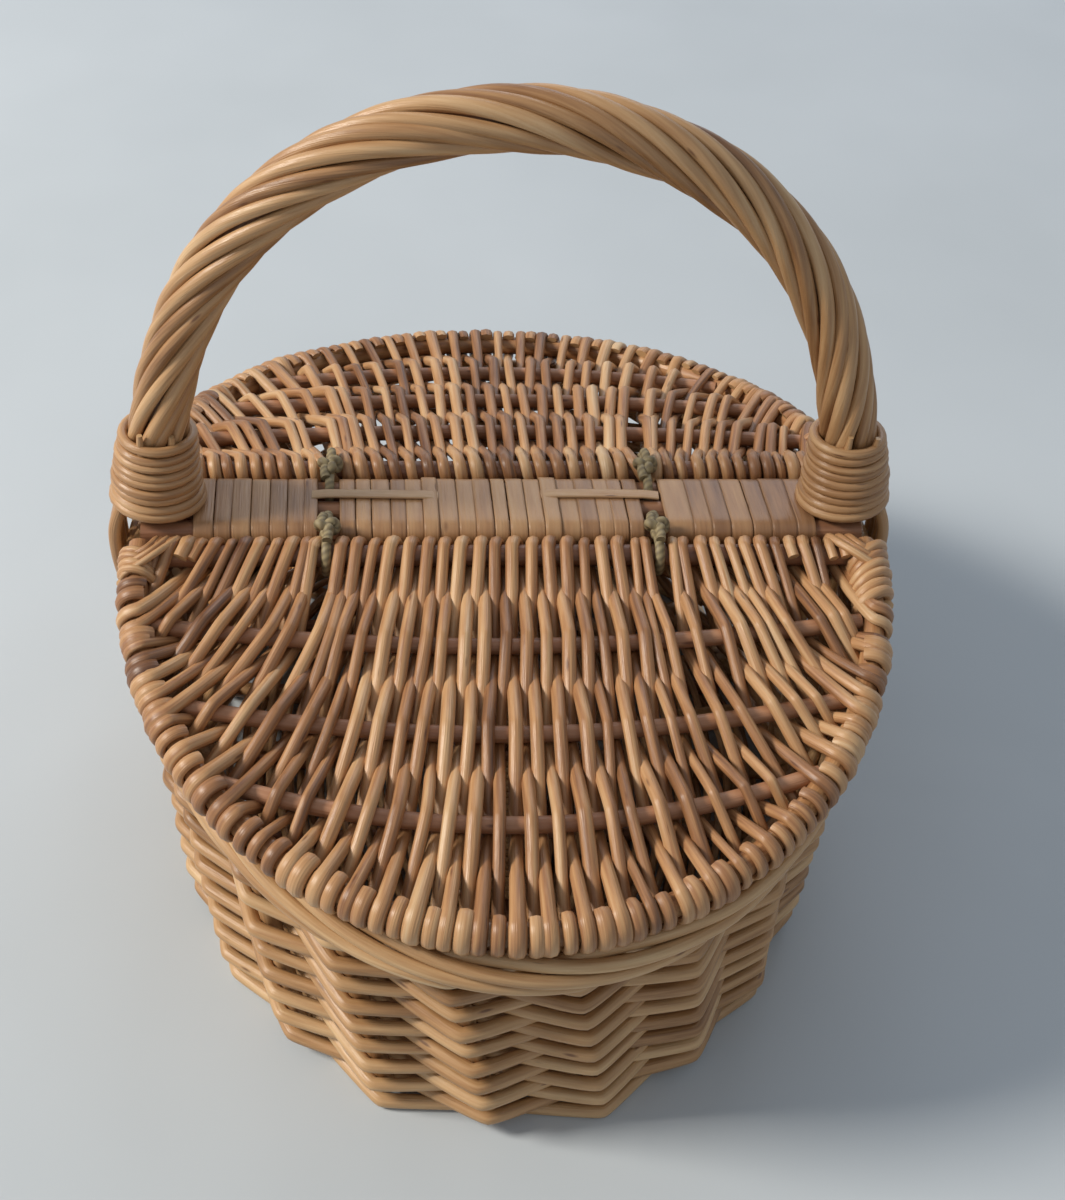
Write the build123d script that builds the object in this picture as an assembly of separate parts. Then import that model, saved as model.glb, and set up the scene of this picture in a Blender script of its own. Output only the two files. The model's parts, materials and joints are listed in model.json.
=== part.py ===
from build123d import *
import math
import os

# A wicker picnic basket with two lids. X runs along the bar and the handle, the
# front is -Y, and the basket stands on z = 0. Millimetres and degrees.

# The body: the outside of the weave at the floor and of the border at the rim.
base_half_x = 145.5
base_half_y = 198.0
rim_half_x = 156.8
rim_half_y = 203.3
stake_count = 24
stake_r = 4.0
stake_turn = 0.18        # how far the first stake's top stands on from the front centre, in stakes
stake_lean = 0.62        # how far the foot of a stake stands on from its top, in stakes
stake_foot_z = 4.0
side_rod_d = 5.5         # rods of the side weave
wall_between = 3.0       # half the wall's thickness midway between two stakes, where rods cross
section_h = 46.0         # over this height a stake leans by well under half the way to the next
foot_wale_h = 14.0
border_h = 11.0
border_w = 15.0

# The base: an oval of rods woven round crossed sticks.
base_under = 1.0         # how far the base clears the floor
base_thick = 12.0
short_stick_r = 4.5
short_stick_count = 5
short_stick_pitch = 48.0
short_stick_end = 8.0    # weave left beyond the end of a stick
long_stick_r = 3.0
long_stick_count = 3
long_stick_pitch = 16.0

# The bar across the middle, its flat wrapping and the strips laid on top.
bar_z = 156.0
bar_rod_r = 4.8
bar_rod_gap = 3.3        # the tie cord passes between two rods
bar_inset = 8.8          # the bar's ends stand back from the outside of the rim
skein_thick = 1.1
skein_slot = 0.6         # gap between two turns of the skein
left_wrap_turns = 7
middle_wrap_turns = 18
right_wrap_turns = 7
listing_w = 5.5
listing_y = 3.0
listing_thick = 1.2
left_listing_from = -80.6
left_listing_to = -27.9
right_listing_from = 14.8
right_listing_to = 64.6

# The lids. Each slopes down from the bar to the border.
front_slope = 11.0
rear_slope = 13.5
lid_overhang = 0.6       # how far a lid reaches past the border
lid_hoop_r = 4.5
lid_wrap_r = 9.0         # the hoop and the hinge rod with the weavers round them
lid_inset = 9.3          # from the outside of the rim to the middle of the hoop, at the hinge
lid_rise = 7.5           # half the lid's thickness where the weave goes over and under a stick
lid_between = 3.0        # half its thickness midway between two sticks
lid_ridge_half_w = 17.0  # from a stick to where the weave lies flat
lid_stick_r = 3.3
lid_stick_at = [46.0, 87.0, 126.0]
lid_stick_bow = [12.0, 16.0, 22.0]
hoop_tail = 6.0          # the hoop's ends run on past the hinge rod
corner_rod_r = 2.1
corner_turns = 7

# The cord ties that hinge the lids to the bar.
tie_r = 1.5
tie_left_x = -73.0
tie_right_x = 61.0
tie_knot_r = 3.2
tie_notch_w = 6.4
tie_notch_r = 11.0

# The handle.
handle_inset = 13.8      # from the outside of the rim to the middle of the handle
handle_top_z = 330.0     # middle of the roping at the top
bow_r = 6.5
bow_leg_r = 4.0
bow_leg_end_z = 80.0
roping_r = 12.0
roping_foot_r = 14.9
foot_rod_r = 2.0
foot_turns = 7
liner_r = 2.7
liner_count = 3
liner_end_z = 118.0

# Clearances.
snug = 0.2               # a rod in the weave that holds it
clear = 0.3              # two pieces that lie side by side
lid_clear = 0.4          # a lid above the border
hinge_clear = 0.8        # a lid beside the bar
turn_clear = 0.45        # two turns of a winding
corner_turn_clear = 0.65 # two turns round a lid's corner, before the bend closes them up
tie_clear = 3.0          # a tie beside the skein
liner_gap = 0.6          # two liners side by side

# What follows from them.
proud = stake_r + side_rod_d
bar_half_length = rim_half_x - bar_inset
handle_half_span = rim_half_x - handle_inset
lid_half_x = rim_half_x - lid_inset
bar_rod_pitch = 2 * bar_rod_r + bar_rod_gap
skein_inner_r = bar_rod_r + snug
skein_outer_r = skein_inner_r + skein_thick
bar_half_w = bar_rod_pitch + skein_outer_r
bar_seat_z = bar_z - bar_rod_r
hinge_y = bar_half_w + hinge_clear + lid_wrap_r
lid_seat = lid_wrap_r + lid_clear
step_y = bar_rod_pitch + bar_rod_r + clear
corner_wind_r = lid_hoop_r + clear + corner_rod_r
corner_pitch = 2 * corner_rod_r + corner_turn_clear
corner_from = lid_hoop_r + clear + corner_rod_r
corner_to = corner_from + corner_turns * corner_pitch
corner_room_r = corner_wind_r + corner_rod_r + clear
foot_from_z = bar_z + bar_rod_r + clear
handle_spring_z = handle_top_z - handle_half_span
foot_pitch = 2 * foot_rod_r + turn_clear
tie_loop_r = bar_rod_r + bar_rod_gap / 2
wrap_gap = 2 * (tie_r + tie_clear)
middle_wrap_from = tie_left_x + wrap_gap / 2
middle_wrap_to = tie_right_x - wrap_gap / 2
wrap_end = handle_half_span - roping_foot_r - clear
left_wrap_to = tie_left_x - wrap_gap / 2
right_wrap_from = tie_right_x + wrap_gap / 2
far = 400.0              # longer than the basket, for cuts that go right through


def save(node, shape):
    """Write one node."""
    os.makedirs("parts", exist_ok=True)
    export_step(shape, "parts/" + node + ".step")


def group(solids):
    """Separate solids of one node."""
    return Compound(children=[Solid(s.wrapped) for one in solids for s in one.solids()])


def roof_z(y):
    """Height of the border's top under the lids."""
    slope = math.radians(front_slope if y < 0 else rear_slope)
    return bar_z - lid_seat / math.cos(slope) - (abs(y) - hinge_y) * math.tan(slope)


def under_roof(drop):
    """All that lies lower than the border's top by drop or more."""
    top = [(-far, roof_z(-far) - drop), (-step_y, roof_z(-step_y) - drop)]
    top += [(-step_y, bar_seat_z - drop), (step_y, bar_seat_z - drop)]
    top += [(step_y, roof_z(step_y) - drop), (far, roof_z(far) - drop)]
    outline = Polyline((-far, -far), *top, (far, -far), close=True)
    return extrude(Plane.YZ * make_face(outline), amount=far, both=True)


def ellipse_points(half_x, half_y, shift):
    """Points and outward normals evenly spaced along an ellipse, two to a stake.

    The first lies shift half spacings on from the front centre, towards +X.
    """
    steps = 2880
    count = 2 * stake_count
    arc = [0.0]
    for i in range(steps):
        turn = 2 * math.pi * (i + 0.5) / steps - math.pi / 2
        arc.append(arc[-1] + math.hypot(half_x * math.sin(turn), half_y * math.cos(turn)))
    found = []
    for k in range(count):
        goal = arc[-1] * (((k + shift) / count) % 1)
        i = next(n for n in range(steps) if arc[n + 1] >= goal)
        part = (goal - arc[i]) / (arc[i + 1] - arc[i])
        turn = 2 * math.pi * (i + part) / steps - math.pi / 2
        normal = Vector(math.cos(turn) / half_x, math.sin(turn) / half_y).normalized()
        found.append((Vector(half_x * math.cos(turn), half_y * math.sin(turn)), normal))
    return found


# The wall flares in a straight line from the floor through the border's outside.
front_rim_z = roof_z(-rim_half_y)
top_half_y = base_half_y + (rim_half_y - base_half_y) * bar_seat_z / front_rim_z
foot_points = ellipse_points(base_half_x - proud, base_half_y - proud, 2 * (stake_turn + stake_lean))
top_points = ellipse_points(rim_half_x - proud, top_half_y - proud, 2 * stake_turn)


def wall_point(k, z, out):
    """A point of the wall at height z, out from the middle of the stakes."""
    low = foot_points[k][0] + foot_points[k][1] * out
    high = top_points[k][0] + top_points[k][1] * out + Vector(0, 0, bar_seat_z)
    return low + (high - low) * (z / bar_seat_z)


def wall_block(z_from, z_to, at_stake, between):
    """What a woven skin encloses: it stands out at the stakes and dips between them."""
    steps = math.ceil((z_to - z_from) / section_h)
    faces = []
    for step in range(steps + 1):
        z = z_from + (z_to - z_from) * step / steps
        ring = [wall_point(k, z, at_stake if k % 2 == 0 else between) for k in range(2 * stake_count)]
        faces.append(make_face(Polyline(*ring, close=True)))
    return loft(faces, ruled=True)


def wall(z_from, z_to):
    """The woven wall between two heights."""
    return wall_block(z_from, z_to, proud, wall_between) - wall_block(z_from, z_to, -proud, -wall_between)


def rod(start, end, r):
    """A straight round rod from one point to another."""
    run = end - start
    return Plane(origin=start, z_dir=run) * Cylinder(
        r, run.length, align=(Align.CENTER, Align.CENTER, Align.MIN))


def stake_rods(r):
    """The stakes at full length, before their tops are cut."""
    return [rod(wall_point(2 * k, stake_foot_z, 0), wall_point(2 * k, bar_seat_z, 0), r)
            for k in range(stake_count)]


def stakes():
    """Upright rods that the sides are woven round, up to the border's underside."""
    limit = under_roof(border_h)
    return group([one & limit for one in stake_rods(stake_r)])


def bow_legs(r):
    """The ends of the bow, pushed down inside the wall."""
    return [rod(Vector(side * handle_half_span, 0, bow_leg_end_z),
                Vector(side * handle_half_span, 0, bar_seat_z), r) for side in (-1, 1)]


def siding():
    """The woven sides from the foot wale to the border."""
    body = wall(foot_wale_h, bar_seat_z) & under_roof(border_h)
    return body - stake_rods(stake_r + snug) - bow_legs(bow_leg_r + snug)


def foot_wale():
    """The ring of heavier weave that the basket stands on."""
    return wall(0, foot_wale_h) - stake_rods(stake_r + snug)


def border():
    """The plaited rim, a roof that falls to the front and the back."""
    ring = Ellipse(rim_half_x, rim_half_y) - Ellipse(rim_half_x - border_w, rim_half_y - border_w)
    band = extrude(ring, amount=far)
    return (band & under_roof(0)) - under_roof(border_h) - bow_legs(bow_leg_r + snug)


def spread(count, pitch):
    """Places of a row, even about the middle."""
    return [(k - (count - 1) / 2) * pitch for k in range(count)]


def base_half(share_y):
    """Half the base's width at a share of its length."""
    return (base_half_x - 2 * proud) * math.sqrt(1 - share_y ** 2)


def short_sticks(r, extra):
    """Sticks across the base."""
    found = []
    z = base_under + base_thick / 2
    for y in spread(short_stick_count, short_stick_pitch):
        half = base_half(y / (base_half_y - 2 * proud)) - short_stick_end + extra
        found.append(rod(Vector(-half, y, z), Vector(half, y, z), r))
    return found


def long_sticks(r, extra):
    """Sticks along the base, through the short ones."""
    found = []
    z = base_under + base_thick / 2
    for x in spread(long_stick_count, long_stick_pitch):
        half = base_half_y - 2 * proud - short_stick_end + extra
        found.append(rod(Vector(x, -half, z), Vector(x, half, z), r))
    return found


def base_weave():
    """The oval woven base, with the sticks inside it."""
    disc = wall_block(base_under, base_under + base_thick, -proud - clear, -wall_between - clear)
    return disc - short_sticks(short_stick_r + snug, snug) - long_sticks(long_stick_r + snug, snug)


def base_sticks_short():
    """Short sticks, each pierced for the long ones."""
    holes = long_sticks(long_stick_r + snug, snug)
    return group([one - holes for one in short_sticks(short_stick_r, 0)])


def base_sticks_long():
    """Long sticks, pushed through the short ones."""
    return group(long_sticks(long_stick_r, 0))


def biarc(start, start_dir, end, end_dir):
    """Two arcs that meet smoothly and keep the directions given for both ends."""
    chord = end - start
    along = chord.dot(start_dir + end_dir)
    bend = 2 - 2 * start_dir.dot(end_dir)
    reach = (math.sqrt(along ** 2 + bend * chord.dot(chord)) - along) / bend
    first = start + start_dir * reach
    second = end - end_dir * reach
    middle = (first + second) * 0.5
    return [Edge.make_tangent_arc(start, start_dir, middle),
            Edge.make_tangent_arc(middle, second - first, end)]


def direction(place, t):
    """The way that a line runs at t."""
    step = 1e-4
    return (place(t + step) - place(t - step)).normalized()


def tube(place, t_from, t_to, pieces, r, tail):
    """A round tube along place(t), on pairs of arcs, with a straight tail at each end."""
    stops = [t_from + (t_to - t_from) * k / pieces for k in range(pieces + 1)]
    points = [place(t) for t in stops]
    ways = [direction(place, t) for t in stops]
    edges = []
    for k in range(pieces):
        edges += biarc(points[k], ways[k], points[k + 1], ways[k + 1])
    if tail:
        edges.insert(0, Edge.make_line(points[0] - ways[0] * tail, points[0]))
        edges.append(Edge.make_line(points[-1], points[-1] + ways[-1] * tail))
    section = Plane(origin=edges[0] @ 0, z_dir=ways[0]) * Circle(r)
    return sweep(section, path=Wire(edges))


def print_gap(name, place, turns, width):
    """The least gap between two turns of a winding, measured on points."""
    per_turn = 36
    points = [place(k / per_turn) for k in range(int(turns * per_turn) + 1)]
    least = min((points[i] - points[j]).length
                for i in range(len(points)) for j in range(i + per_turn // 2, len(points)))
    print(name, "least gap", round(least - width, 2), "mm")


def bow_line(r_section):
    """A section swept over the handle, from one spring of the arch to the other."""
    arch = Plane.XZ * CenterArc((0, handle_spring_z), handle_half_span, 0, 180)
    start = Plane(origin=(handle_half_span, 0, handle_spring_z), z_dir=(0, 0, 1))
    return sweep(start * r_section, path=arch)


def upright(side, z_from, z_to, r_from, r_to):
    """A round or tapered post on the handle's leg."""
    if r_from == r_to:
        shape = Cylinder(r_from, z_to - z_from, align=(Align.CENTER, Align.CENTER, Align.MIN))
    else:
        shape = Cone(r_from, r_to, z_to - z_from, align=(Align.CENTER, Align.CENTER, Align.MIN))
    return Pos(side * handle_half_span, 0, z_from) * shape


def handle_bow():
    """The stout rod inside the handle, thinned where it goes down into the wall."""
    bow = bow_line(Circle(bow_r))
    for side in (-1, 1):
        bow += upright(side, foot_from_z, handle_spring_z, bow_r, bow_r)
        bow += upright(side, bar_seat_z, foot_from_z, bow_leg_r, bow_r)
        bow += upright(side, bow_leg_end_z, bar_seat_z, bow_leg_r, bow_leg_r)
    return bow


def handle_roping():
    """The rods twisted round the bow, spread where they end at the feet."""
    sleeve = bow_line(Circle(roping_r) - Circle(bow_r + snug))
    for side in (-1, 1):
        sleeve += (upright(side, foot_from_z, handle_spring_z, roping_foot_r, roping_r)
                   - upright(side, foot_from_z, handle_spring_z, bow_r + snug, bow_r + snug))
    return sleeve


def foot_wrap(side):
    """Turns of thin rod that bind a foot of the handle."""
    def place(t):
        z = foot_from_z + foot_rod_r + foot_pitch * t
        share = max(0, 1 - (z - foot_from_z) / (handle_spring_z - foot_from_z))
        rise = max(0, z - handle_spring_z)
        drift = handle_half_span - math.sqrt(handle_half_span ** 2 - rise ** 2)
        r = roping_r + (roping_foot_r - roping_r) * share + drift + clear + foot_rod_r
        turn = 2 * math.pi * t
        return Vector(side * (handle_half_span + r * math.cos(turn)), r * math.sin(turn), z)
    print_gap("foot wrap", place, foot_turns, 2 * foot_rod_r)
    return tube(place, 0, foot_turns, 4 * foot_turns, foot_rod_r, 2 * foot_rod_r)


def handle_liners(side):
    """Short rods beside each other that hold a foot down over the border."""
    x = side * (rim_half_x + clear + liner_r)
    return group([rod(Vector(x, y, liner_end_z), Vector(x, y, foot_from_z - clear), liner_r)
                  for y in spread(liner_count, 2 * liner_r + liner_gap)])


def bar_rod(y, half):
    """One of the three rods of the bar."""
    return rod(Vector(-half, y, bar_z), Vector(half, y, bar_z), bar_rod_r)


def bar_wrap(name, x_from, x_to, turns):
    """One flat skein wound round the bar, its turns parted by a thin slot."""
    slot = SlotCenterToCenter(2 * bar_rod_pitch, 2 * skein_outer_r)
    slot -= SlotCenterToCenter(2 * bar_rod_pitch, 2 * skein_inner_r)
    sleeve = Pos(x_from, 0, bar_z) * extrude(Plane.YZ * slot, amount=x_to - x_from)
    pitch = (x_to - x_from) / turns
    tilt = math.atan(pitch / 2 / (2 * bar_half_w))
    height = 2 * skein_outer_r
    saw = []
    for k in range(turns + 1):
        for half, up in ((0.25, 1), (0.75, -1)):
            x = x_from + (k - 0.5 + half) * pitch
            blade = Box(skein_slot, 2.4 * bar_half_w, height, align=(Align.CENTER, Align.CENTER, Align.MIN))
            if up < 0:
                blade = Pos(0, 0, -height) * blade
            saw.append(Pos(x, 0, bar_z) * Rot(0, 0, -up * math.degrees(tilt)) * blade)

    def place(t):
        turn = 2 * math.pi * t
        return Vector(x_from + pitch * t, bar_half_w * math.cos(turn), skein_outer_r * math.sin(turn))
    print_gap(name, place, turns, pitch * math.cos(tilt) - skein_slot * math.cos(tilt))
    return sleeve - saw


def bar_listing(x_from, x_to):
    """A thin strip laid along the top of the bar."""
    strip = Box(x_to - x_from, listing_w, listing_thick, align=(Align.MIN, Align.CENTER, Align.MIN))
    return Pos(x_from, listing_y, bar_z + skein_outer_r) * strip


def lid_reach(slope):
    """How far the middle of a lid's hoop lies from the hinge, along the lid."""
    run = rim_half_y + lid_overhang - hinge_y
    return run / math.cos(math.radians(slope)) - lid_wrap_r


def hoop_line(reach):
    """The middle of the hoop as a half ellipse, t from 0 to 1, the hinge along X."""
    def place(t):
        turn = math.pi * t
        return Vector(lid_half_x * math.cos(turn), -reach * math.sin(turn), 0)
    return place


def hoop_tube(reach, r, tail):
    """A tube along the whole hoop."""
    return tube(hoop_line(reach), 0, 1, 8, r, tail)


def hoop_turn(reach, v):
    """The share of the hoop at which it lies v from the hinge."""
    return math.asin(v / reach) / math.pi


def lid_hoop(reach):
    """The bent rod that gives the lid its outline."""
    return hoop_tube(reach, lid_hoop_r, hoop_tail)


def lid_hinge_rod(reach):
    """The straight rod that the lid turns on, its ends cut hollow to fit the hoop."""
    straight = rod(Vector(-lid_half_x, 0, 0), Vector(lid_half_x, 0, 0), lid_hoop_r)
    return straight - hoop_tube(reach, lid_hoop_r + clear, hoop_tail)


def corner_room(reach):
    """The room that the corner windings take."""
    place = hoop_line(reach)
    top = hoop_turn(reach, corner_to + corner_rod_r + clear)
    right = tube(place, 0, top, 2, corner_room_r, lid_wrap_r)
    left = tube(place, 1 - top, 1, 2, corner_room_r, lid_wrap_r)
    return [right, left]


def stick_line(reach, k):
    """The middle of one bowed stick."""
    end_v = lid_stick_at[k] - lid_stick_bow[k]
    end_x = lid_half_x * math.sqrt(1 - (end_v / reach) ** 2)
    return ThreePointArc((-end_x, -end_v, 0), (0, -lid_stick_at[k], 0), (end_x, -end_v, 0))


def stick_tube(reach, k, r):
    """One bowed stick across the lid."""
    line = stick_line(reach, k)
    return sweep(Plane(origin=line @ 0, z_dir=line % 0) * Circle(r), path=line)


def lid_sticks(reach):
    """The sticks that the lid is woven round, cut hollow where they meet the hoop."""
    keep_off = [hoop_tube(reach, lid_hoop_r + clear, 0)] + corner_room(reach)
    return group([stick_tube(reach, k, lid_stick_r) - keep_off for k in range(len(lid_stick_at))])


def stick_ridge(reach, k):
    """The weave over and under one stick: thick at the stick and thin to either side."""
    line = stick_line(reach, k)
    half, rise, thin = lid_ridge_half_w, lid_rise, lid_between
    outline = Polyline((-half, thin), (0, rise), (half, thin), (half, -thin), (0, -rise), (-half, -thin), close=True)
    across = (line % 0).cross(Vector(0, 0, 1))
    return sweep(Plane(origin=line @ 0, x_dir=across, z_dir=line % 0) * make_face(outline), path=line)


def lid_weave(reach, tie_places):
    """The woven lid, round the hoop and the hinge rod, open where the ties pass."""
    half = Ellipse(lid_half_x, reach) & Pos(0, -reach / 2) * Rectangle(2 * lid_half_x, reach)
    skin = extrude(half, amount=lid_between, both=True)
    room = extrude(half, amount=lid_rise, both=True)
    skin += [stick_ridge(reach, k) & room for k in range(len(lid_stick_at))]
    skin += hoop_tube(reach, lid_wrap_r, 0)
    skin += rod(Vector(-lid_half_x, 0, 0), Vector(lid_half_x, 0, 0), lid_wrap_r)
    skin -= corner_room(reach)
    skin -= hoop_tube(reach, lid_hoop_r + snug, lid_wrap_r)
    skin -= rod(Vector(-lid_half_x, 0, 0), Vector(lid_half_x, 0, 0), lid_hoop_r + snug)
    skin -= [stick_tube(reach, k, lid_stick_r + snug) for k in range(len(lid_stick_at))]
    for x in tie_places:
        skin -= Pos(x, 0, 0) * Rot(0, 90, 0) * Cylinder(tie_notch_r, tie_notch_w)
    return skin


def lid_corner_wrap(reach, side):
    """Tight turns that bind the hoop beside the hinge rod."""
    def place(t):
        v = corner_from + corner_pitch * t
        turn = math.pi * hoop_turn(reach, v)
        out = Vector(math.cos(turn) / lid_half_x, -math.sin(turn) / reach).normalized()
        spin = 2 * math.pi * t
        middle = Vector(lid_half_x * math.cos(turn), -v)
        found = middle + out * (corner_wind_r * math.cos(spin))
        return Vector(side * found.X, found.Y, corner_wind_r * math.sin(spin))
    print_gap("lid corner wrap", place, corner_turns, 2 * corner_rod_r)
    return tube(place, 0, corner_turns, 4 * corner_turns, corner_rod_r, 2 * corner_rod_r)


def lid_place(slope, turned):
    """Where a lid lies on the basket."""
    return Rot(0, 0, 180 if turned else 0) * Pos(0, -hinge_y, bar_z) * Rot(slope, 0, 0)


def hinge_tie(x, side):
    """A cord looped round a hinge rod and the bar's outer rod, knotted on top."""
    near, far_off = side * bar_rod_pitch, side * hinge_y
    top = Vector(x, far_off, bar_z + tie_loop_r)
    over = Vector(x, near, bar_z + tie_loop_r)
    under = Vector(x, near, bar_z - tie_loop_r)
    low = Vector(x, far_off, bar_z - tie_loop_r)
    inner = Vector(x, near - side * tie_loop_r, bar_z)
    outer = Vector(x, far_off + side * tie_loop_r, bar_z)
    first = Wire([Edge.make_line(top, over), Edge.make_three_point_arc(over, inner, under)])
    second = Wire([Edge.make_line(under, low), Edge.make_three_point_arc(low, outer, top)])
    loop = sweep(Plane(origin=top, z_dir=over - top) * Circle(tie_r), path=first)
    loop += sweep(Plane(origin=under, z_dir=low - under) * Circle(tie_r), path=second)
    knot_z = bar_z + bar_rod_r + clear + tie_knot_r
    return loop + Pos(x, near, knot_z) * Sphere(tie_knot_r)


save("base_sticks_long", base_sticks_long())
save("base_sticks_short", base_sticks_short())
save("base_weave", base_weave())
save("foot_wale", foot_wale())
save("stakes", stakes())
save("siding", siding())
save("border", border())
save("handle_bow", handle_bow())
save("handle_roping", handle_roping())
for word, side in (("left", -1), ("right", 1)):
    save("handle_foot_wrap_" + word, foot_wrap(side))
    save("handle_liners_" + word, handle_liners(side))

save("bar_rod_front", bar_rod(-bar_rod_pitch, bar_half_length))
save("bar_rod_middle", bar_rod(0, handle_half_span - bow_r - clear))
save("bar_rod_rear", bar_rod(bar_rod_pitch, bar_half_length))
save("bar_wrap_left", bar_wrap("left wrap", -wrap_end, left_wrap_to, left_wrap_turns))
save("bar_wrap_middle", bar_wrap("middle wrap", middle_wrap_from, middle_wrap_to, middle_wrap_turns))
save("bar_wrap_right", bar_wrap("right wrap", right_wrap_from, wrap_end, right_wrap_turns))
save("bar_listing_left", bar_listing(left_listing_from, left_listing_to))
save("bar_listing_right", bar_listing(right_listing_from, right_listing_to))

for word, slope, turned in (("front", front_slope, False), ("rear", rear_slope, True)):
    spot = lid_place(slope, turned)
    reach = lid_reach(slope)
    sign = -1 if turned else 1
    save(word + "_lid_hoop", spot * lid_hoop(reach))
    save(word + "_lid_hinge_rod", spot * lid_hinge_rod(reach))
    save(word + "_lid_sticks", spot * lid_sticks(reach))
    save(word + "_lid_weave", spot * lid_weave(reach, [sign * tie_left_x, sign * tie_right_x]))
    save(word + "_lid_corner_wrap_left", spot * lid_corner_wrap(reach, -sign))
    save(word + "_lid_corner_wrap_right", spot * lid_corner_wrap(reach, sign))
    save("hinge_tie_" + word + "_left", hinge_tie(tie_left_x, -sign))
    save("hinge_tie_" + word + "_right", hinge_tie(tie_right_x, -sign))
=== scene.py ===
import bpy
import json
import math
import random
import numpy as np
from mathutils import Matrix, Vector


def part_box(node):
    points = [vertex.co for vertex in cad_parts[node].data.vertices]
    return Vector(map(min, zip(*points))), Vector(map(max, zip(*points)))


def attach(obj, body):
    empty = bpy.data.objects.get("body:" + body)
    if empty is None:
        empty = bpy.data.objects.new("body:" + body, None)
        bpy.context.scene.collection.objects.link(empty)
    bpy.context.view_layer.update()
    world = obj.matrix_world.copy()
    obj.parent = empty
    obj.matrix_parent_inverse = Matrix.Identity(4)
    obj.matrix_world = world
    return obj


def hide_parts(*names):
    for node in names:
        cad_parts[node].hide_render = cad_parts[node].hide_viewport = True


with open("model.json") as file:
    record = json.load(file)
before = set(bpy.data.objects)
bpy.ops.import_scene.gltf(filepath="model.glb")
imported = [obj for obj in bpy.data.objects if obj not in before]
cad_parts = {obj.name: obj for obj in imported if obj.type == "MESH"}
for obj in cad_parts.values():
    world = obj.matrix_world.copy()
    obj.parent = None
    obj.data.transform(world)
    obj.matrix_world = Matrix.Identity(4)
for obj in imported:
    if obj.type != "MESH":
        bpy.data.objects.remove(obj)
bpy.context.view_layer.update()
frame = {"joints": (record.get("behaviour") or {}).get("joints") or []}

# The picture is taken from in front and above, a little to the left, with the
# camera rolled slightly. Its focal length is in pixels of a 1200 pixel long side.
focal_px = 1662.33
long_side_px = 1200
view_turn = math.radians(-5.84)
view_height = math.radians(40.45)
view_roll = math.radians(3.49)
view_distance = 0.7293
view_target = Vector((0.01396, 0.00103, 0.10659))
back = Vector((math.sin(view_turn) * math.cos(view_height),
               -math.cos(view_turn) * math.cos(view_height), math.sin(view_height)))
right = (-back).cross(Vector((0, 0, 1))).normalized()
up = right.cross(-back)
level_right = right * math.cos(view_roll) + up * math.sin(view_roll)
level_up = up * math.cos(view_roll) - right * math.sin(view_roll)
turned = Matrix((level_right, level_up, back)).transposed().to_4x4()
camera = bpy.data.objects.new("camera", bpy.data.cameras.new("camera"))
camera.data.sensor_width = 36.0
camera.data.lens = focal_px / long_side_px * camera.data.sensor_width
camera.data.clip_end = 50.0
camera.matrix_world = Matrix.Translation(view_target + back * view_distance) @ turned
bpy.context.scene.collection.objects.link(camera)
bpy.context.scene.camera = camera
bpy.context.scene.view_settings.view_transform = "Standard"


# The stage is a pale cotton sheet, ironed and laid flat, under a soft lamp high on the
# left, a weak one behind and even light from all round. The surroundings look brighter
# to the camera and in the varnish than the light that they throw on the basket.
floor_size = 6.0
floor_cells = 40
folds_per_metre = 3.0
lamp_aim = Vector((0, 0, 0.1))


def linear(code):
    """The linear colour of an sRGB hex code."""
    channels = []
    for i in (0, 2, 4):
        c = int(code[i:i + 2], 16) / 255
        channels.append(c / 12.92 if c <= 0.04045 else ((c + 0.055) / 1.055) ** 2.4)
    return (*channels, 1.0)


def add_node(tree, kind, settings=None, values=None, links=None):
    """A node with its settings, input values and links."""
    node = tree.nodes.new(kind)
    for key, value in (settings or {}).items():
        setattr(node, key, value)
    for key, value in (values or {}).items():
        node.inputs[key].default_value = value
    for key, socket in (links or {}).items():
        tree.links.new(socket, node.inputs[key])
    return node


def new_material(name):
    """An empty material and its node tree."""
    material = bpy.data.materials.new(name)
    material.use_nodes = True
    material.node_tree.nodes.clear()
    return material, material.node_tree


bpy.ops.mesh.primitive_grid_add(x_subdivisions=floor_cells, y_subdivisions=floor_cells, size=floor_size)
floor = bpy.context.object
floor.name = "floor"
# ironed cotton is quite matt; its faint folds are a slight bump, and the same fold pattern shifts the cloth's
# colour a little paler and darker as painted fold shading
cloth, tree = new_material("pale_cotton_sheet_ironed")
place = add_node(tree, "ShaderNodeTexCoord")
folds_and_painted_shade = add_node(tree, "ShaderNodeTexNoise", values={"Scale": folds_per_metre, "Detail": 3.0},
                 links={"Vector": place.outputs["Object"]})
# painted shade: the fold pattern picks a paler or darker cloth colour, standing in for light and shade on the
# folds
shade = add_node(tree, "ShaderNodeValToRGB", links={"Fac": folds_and_painted_shade.outputs["Fac"]})
shade.color_ramp.elements[0].color = linear("b9c1c6")
shade.color_ramp.elements[1].color = linear("ccd4da")
rise = add_node(tree, "ShaderNodeBump", values={"Strength": 0.25, "Distance": 0.02},
                links={"Height": folds_and_painted_shade.outputs["Fac"]})
surface = add_node(tree, "ShaderNodeBsdfPrincipled", values={"Roughness": 0.9},
                   links={"Base Color": shade.outputs["Color"], "Normal": rise.outputs["Normal"]})
add_node(tree, "ShaderNodeOutputMaterial", links={"Surface": surface.outputs["BSDF"]})
floor.data.materials.append(cloth)

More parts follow.
